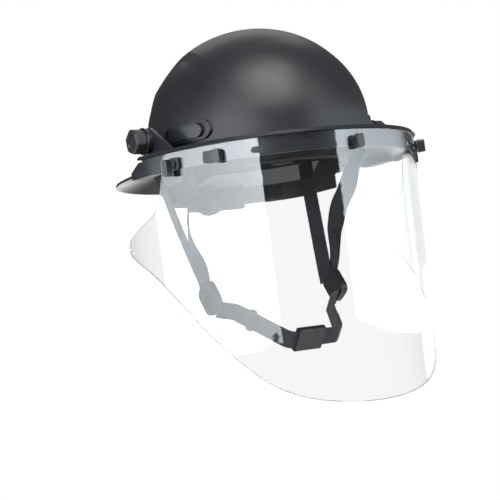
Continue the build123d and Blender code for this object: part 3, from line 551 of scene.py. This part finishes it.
# --- Padded bands ---
def pad_mesh(spots, bottom, top, depth, channel_pitch):
    """A thin cushion on the inner face of a band: crowned, pinched at its seams and closed.

    spots are (point on the band's inner face, inward direction), evenly spaced along it."""
    run = run_lengths([point for point, _ in spots])
    total = run[-1]
    channels = max(2, round(total / channel_pitch))
    middle, half = (bottom + top) / 2, (top - bottom) / 2
    rings, uv_rings = [], []
    for (point, inward), s in zip(spots, run):
        from_end = min(s, total - s)
        ends = min(1.0, math.sqrt(max(from_end, 0.0) / 0.006)) if from_end < 0.006 else 1.0
        nearest = abs((s / total * channels) % 1.0 - 0.5) * total / channels
        half_cell = total / channels / 2
        to_seam = half_cell - nearest
        pinch = 1 - 0.5 * math.exp(-(to_seam / 0.0016) ** 2)
        round_end = max(0.12, ends)
        ring, uv = [], []
        for k in range(29):
            v = -1 + 2 * k / 28
            height = v * half * (0.86 + 0.14 * round_end)
            dome = max(0.0, 1 - abs(v) ** 3.2) ** 0.55
            border = 1 - 0.3 * math.exp(-((abs(v) - 0.8) / 0.045) ** 2)
            slack = 1 + 0.05 * math.sin(s * 260.0 + 3 * v) + 0.03 * math.sin(s * 570.0 - 5 * v)
            out = depth * (0.1 + 0.86 * dome * border * pinch * slack * round_end)
            ring.append(point + inward * out + Vector((0, 0, middle + height)))
            uv.append((s, height))
        for k in range(1, 28):
            v = 1 - 2 * k / 28
            height = v * half * (0.86 + 0.14 * round_end)
            ring.append(point + inward * (depth * 0.03) + Vector((0, 0, middle + height)))
            uv.append((s, height))
        rings.append(ring)
        uv_rings.append(uv)
    return skin(rings, uv_rings)


def ellipse_spots(a, b, centre_y, first, last, count):
    """Points on a level ellipse with the directions inward, at angles from the front."""
    spots = []
    for i in range(count):
        t = math.radians(first + (last - first) * i / (count - 1))
        point = Vector((a * math.sin(t), centre_y - b * math.cos(t), 0))
        inward = -Vector((math.sin(t) / a, -math.cos(t) / b, 0)).normalized()
        spots.append((point, inward))
    return spots


# half width and half length of a band's inner face, and how far forward or back its pad ends
BROW_A, BROW_B, BROW_END_Y = 0.0776, 0.0952, 0.0315
NAPE_A, NAPE_B, NAPE_Y, NAPE_END_Y = 0.0800, 0.0482, 0.050, 0.0745

brow_end = math.degrees(math.acos(BROW_END_Y / BROW_B))
brow_spots = ellipse_spots(BROW_A, BROW_B, 0, -brow_end, brow_end, 260)
brow_shape = pad_mesh(brow_spots, bottom=-0.0173, top=0.0138, depth=0.0045, channel_pitch=0.021)
brow = smooth_piece("brow_pad_cushion", *brow_shape,
                    "hat", "pad_foam", MATERIALS["pad_foam"], "brow_pad")

nape_end = 180 - math.degrees(math.acos((NAPE_END_Y - NAPE_Y) / NAPE_B))
nape_spots = ellipse_spots(NAPE_A, NAPE_B, NAPE_Y, nape_end, 360 - nape_end, 150)
nape_shape = pad_mesh(nape_spots, bottom=-0.0348, top=-0.0192, depth=0.0040, channel_pitch=0.018)
nape = smooth_piece("nape_pad_cushion", *nape_shape,
                    "nape", "pad_foam", MATERIALS["pad_foam"], "nape_pad")


# --- Floor, light and camera ---
def stage_disc(name, radius, height):
    """A round flat sheet around the object."""
    mesh = bpy.data.meshes.new(name)
    bm = bmesh.new()
    bmesh.ops.create_circle(bm, cap_ends=True, radius=radius, segments=96)
    bm.to_mesh(mesh)
    bm.free()
    disc = bpy.data.objects.new(name, mesh)
    disc.location = (0, 0, height)
    bpy.context.scene.collection.objects.link(disc)
    return disc


FLOOR_RADIUS = 1.7
FLOOR_HEIGHT = -0.62
AMBIENT = 0.09             # the room's own light; the backdrop itself is seen white

floor = stage_disc("floor", FLOOR_RADIUS, FLOOR_HEIGHT)
paper = Tree("floor_paper")
paper_grain = paper.noise(paper.coords(), 6.0)
paper.link(paper.mix(paper.remap(paper_grain, 0, 1), (0.86, 0.86, 0.86), (0.9, 0.9, 0.9)),
           paper.shader.inputs["Base Color"])
paper.shader.inputs["Roughness"].default_value = 0.9
# the paper fades into the white backdrop towards its rim
paper_reach = paper.add("ShaderNodeVectorMath", operation="LENGTH")
paper.link(paper.coords(), paper_reach.inputs[0])
paper_fade = paper.remap(paper_reach.outputs["Value"], 0.0, 1.0, (FLOOR_RADIUS * 0.5, FLOOR_RADIUS * 0.98))
paper_clear = paper.add("ShaderNodeBsdfTransparent")
paper_mix = paper.add("ShaderNodeMixShader")
paper.link(paper_fade, paper_mix.inputs["Fac"])
paper.link(paper.shader.outputs["BSDF"], paper_mix.inputs[1])
paper.link(paper_clear.outputs["BSDF"], paper_mix.inputs[2])
paper.link(paper_mix.outputs["Shader"], paper.output.inputs["Surface"])
floor.data.materials.append(paper.material)

world = bpy.data.worlds.new("studio")
bpy.context.scene.world = world
world.use_nodes = True
world_nodes = world.node_tree.nodes
world_links = world.node_tree.links
background = world_nodes["Background"]
background.inputs["Color"].default_value = (1, 1, 1, 1)
light_path = world_nodes.new("ShaderNodeLightPath")
seen = world_nodes.new("ShaderNodeMath")
seen.operation = "MAXIMUM"
world_links.new(light_path.outputs["Is Camera Ray"], seen.inputs[0])
world_links.new(light_path.outputs["Is Transmission Ray"], seen.inputs[1])
level = world_nodes.new("ShaderNodeMapRange")
level.inputs["To Min"].default_value = AMBIENT
level.inputs["To Max"].default_value = 1.0
world_links.new(seen.outputs["Value"], level.inputs["Value"])
world_links.new(level.outputs["Result"], background.inputs["Strength"])


def softbox(name, position, target, size, radiance, tint=(1, 1, 1)):
    """A soft rectangular lamp. Its power follows from its size and how bright its face is."""
    data = bpy.data.lights.new(name, "AREA")
    data.shape = "RECTANGLE"
    data.size, data.size_y = size
    data.energy = radiance * math.pi * size[0] * size[1]
    data.color = tint
    lamp = bpy.data.objects.new(name, data)
    lamp.location = position
    lamp.rotation_euler = (Vector(target) - Vector(position)).to_track_quat("-Z", "Y").to_euler()
    bpy.context.scene.collection.objects.link(lamp)
    return lamp


def graded(lamp, corners):
    """Brightness across a softbox's face: at its low start, low end, high start and high end."""
    data = lamp.data
    data.use_nodes = True
    tree = data.node_tree
    emission = tree.nodes["Emission"]
    geometry = tree.nodes.new("ShaderNodeNewGeometry")
    split = tree.nodes.new("ShaderNodeSeparateXYZ")
    tree.links.new(geometry.outputs["Parametric"], split.inputs["Vector"])
    rows = []
    for start, end in (corners[:2], corners[2:]):
        row = tree.nodes.new("ShaderNodeMapRange")
        row.inputs["To Min"].default_value = end
        row.inputs["To Max"].default_value = start
        tree.links.new(split.outputs["X"], row.inputs["Value"])
        rows.append(row)
    rise = tree.nodes.new("ShaderNodeMapRange")
    tree.links.new(split.outputs["Y"], rise.inputs["Value"])
    tree.links.new(rows[0].outputs["Result"], rise.inputs["To Min"])
    tree.links.new(rows[1].outputs["Result"], rise.inputs["To Max"])
    tree.links.new(rise.outputs["Result"], emission.inputs["Strength"])


def lamp_at(name, azimuth, elevation, distance, size, radiance):
    """A softbox in a direction, in degrees from the front to the wearer's left and up."""
    turn, lift = math.radians(azimuth), math.radians(elevation)
    away = Vector((math.sin(turn) * math.cos(lift), -math.cos(turn) * math.cos(lift), math.sin(lift)))
    return softbox(name, away * distance, (0, 0, 0), size, radiance)


def wall_lamp(name, start, end, height, size, corners, tint, distance=2.2):
    """An upright softbox from one direction to another, in degrees from the front to the left."""
    edges = []
    for angle in (start, end):
        turn = math.radians(angle)
        edges.append(Vector((math.sin(turn), -math.cos(turn), 0)) * distance)
    middle = (edges[0] + edges[1]) / 2 + Vector((0, 0, height))
    width = (edges[1] - edges[0]).length
    # a lamp's own left and right swap when it runs the other way round
    if end > start:
        corners = (corners[1], corners[0], corners[3], corners[2])
    graded(softbox(name, middle, (0, 0, height), (width, size), 1.0, tint), corners)


# two upright walls of light give the visor its veils, with a clear gap between them
wall_lamp("left_wall", -40.5, -127, 0.0, 0.55, (5.2, 2.6, 9.5, 4.0), (0.9, 0.96, 1.0))
wall_lamp("right_wall", 18, 100, 0.0, 0.5, (7.2, 0.3, 5.9, 0.1), (0.86, 0.945, 1.0))
# low light behind the object: seen along the visor's far edge and under the brim
wall_lamp("right_low", 90, 135, -0.1, 0.54, (1.15, 1.15, 1.15, 1.15), (1, 1, 1))
wall_lamp("back_low", 135, 165, -0.4, 0.7, (0.05, 0.05, 1.5, 1.5), (1, 1, 1))
# high lamps shape the dome
lamp_at("left_high", -68, 24, 1.9, (1.0, 0.6), 3.6)
lamp_at("key", -18, 50, 1.6, (1.2, 1.4), 6.0)
lamp_at("right_high", 30, 28, 1.9, (0.9, 0.8), 1.9)
lamp_at("rim", 148, 46, 2.0, (1.4, 0.8), 1.35)

# where the photo was taken from, from the front to the left and up, all fitted
AZIMUTH, ELEVATION, ROLL = math.radians(-32.097), math.radians(-3.217), math.radians(-7.121)
DISTANCE = 1.424764
LENS = 102.99              # on a sensor 36 mm wide
AIM = (-0.023316, -0.114483)      # sideways and up from the origin of the camera fit
FIT_RISE = 0.024195
back = Vector((math.sin(AZIMUTH) * math.cos(ELEVATION), -math.cos(AZIMUTH) * math.cos(ELEVATION),
               math.sin(ELEVATION)))
level_right = (-back).cross(Vector((0, 0, 1))).normalized()
level_up = level_right.cross(-back)
view_right = math.cos(ROLL) * level_right + math.sin(ROLL) * level_up
view_up = -math.sin(ROLL) * level_right + math.cos(ROLL) * level_up
place = AIM[0] * level_right + AIM[1] * level_up + DISTANCE * back + Vector((0, 0, FIT_RISE))
camera_data = bpy.data.cameras.new("camera")
camera_data.sensor_width = 36.0
camera_data.lens = LENS
camera = bpy.data.objects.new("camera", camera_data)
camera.matrix_world = Matrix((
    (view_right.x, view_up.x, back.x, place.x),
    (view_right.y, view_up.y, back.y, place.y),
    (view_right.z, view_up.z, back.z, place.z),
    (0, 0, 0, 1),
))
bpy.context.scene.collection.objects.link(camera)
bpy.context.scene.camera = camera
bpy.context.scene.view_settings.view_transform = "Standard"
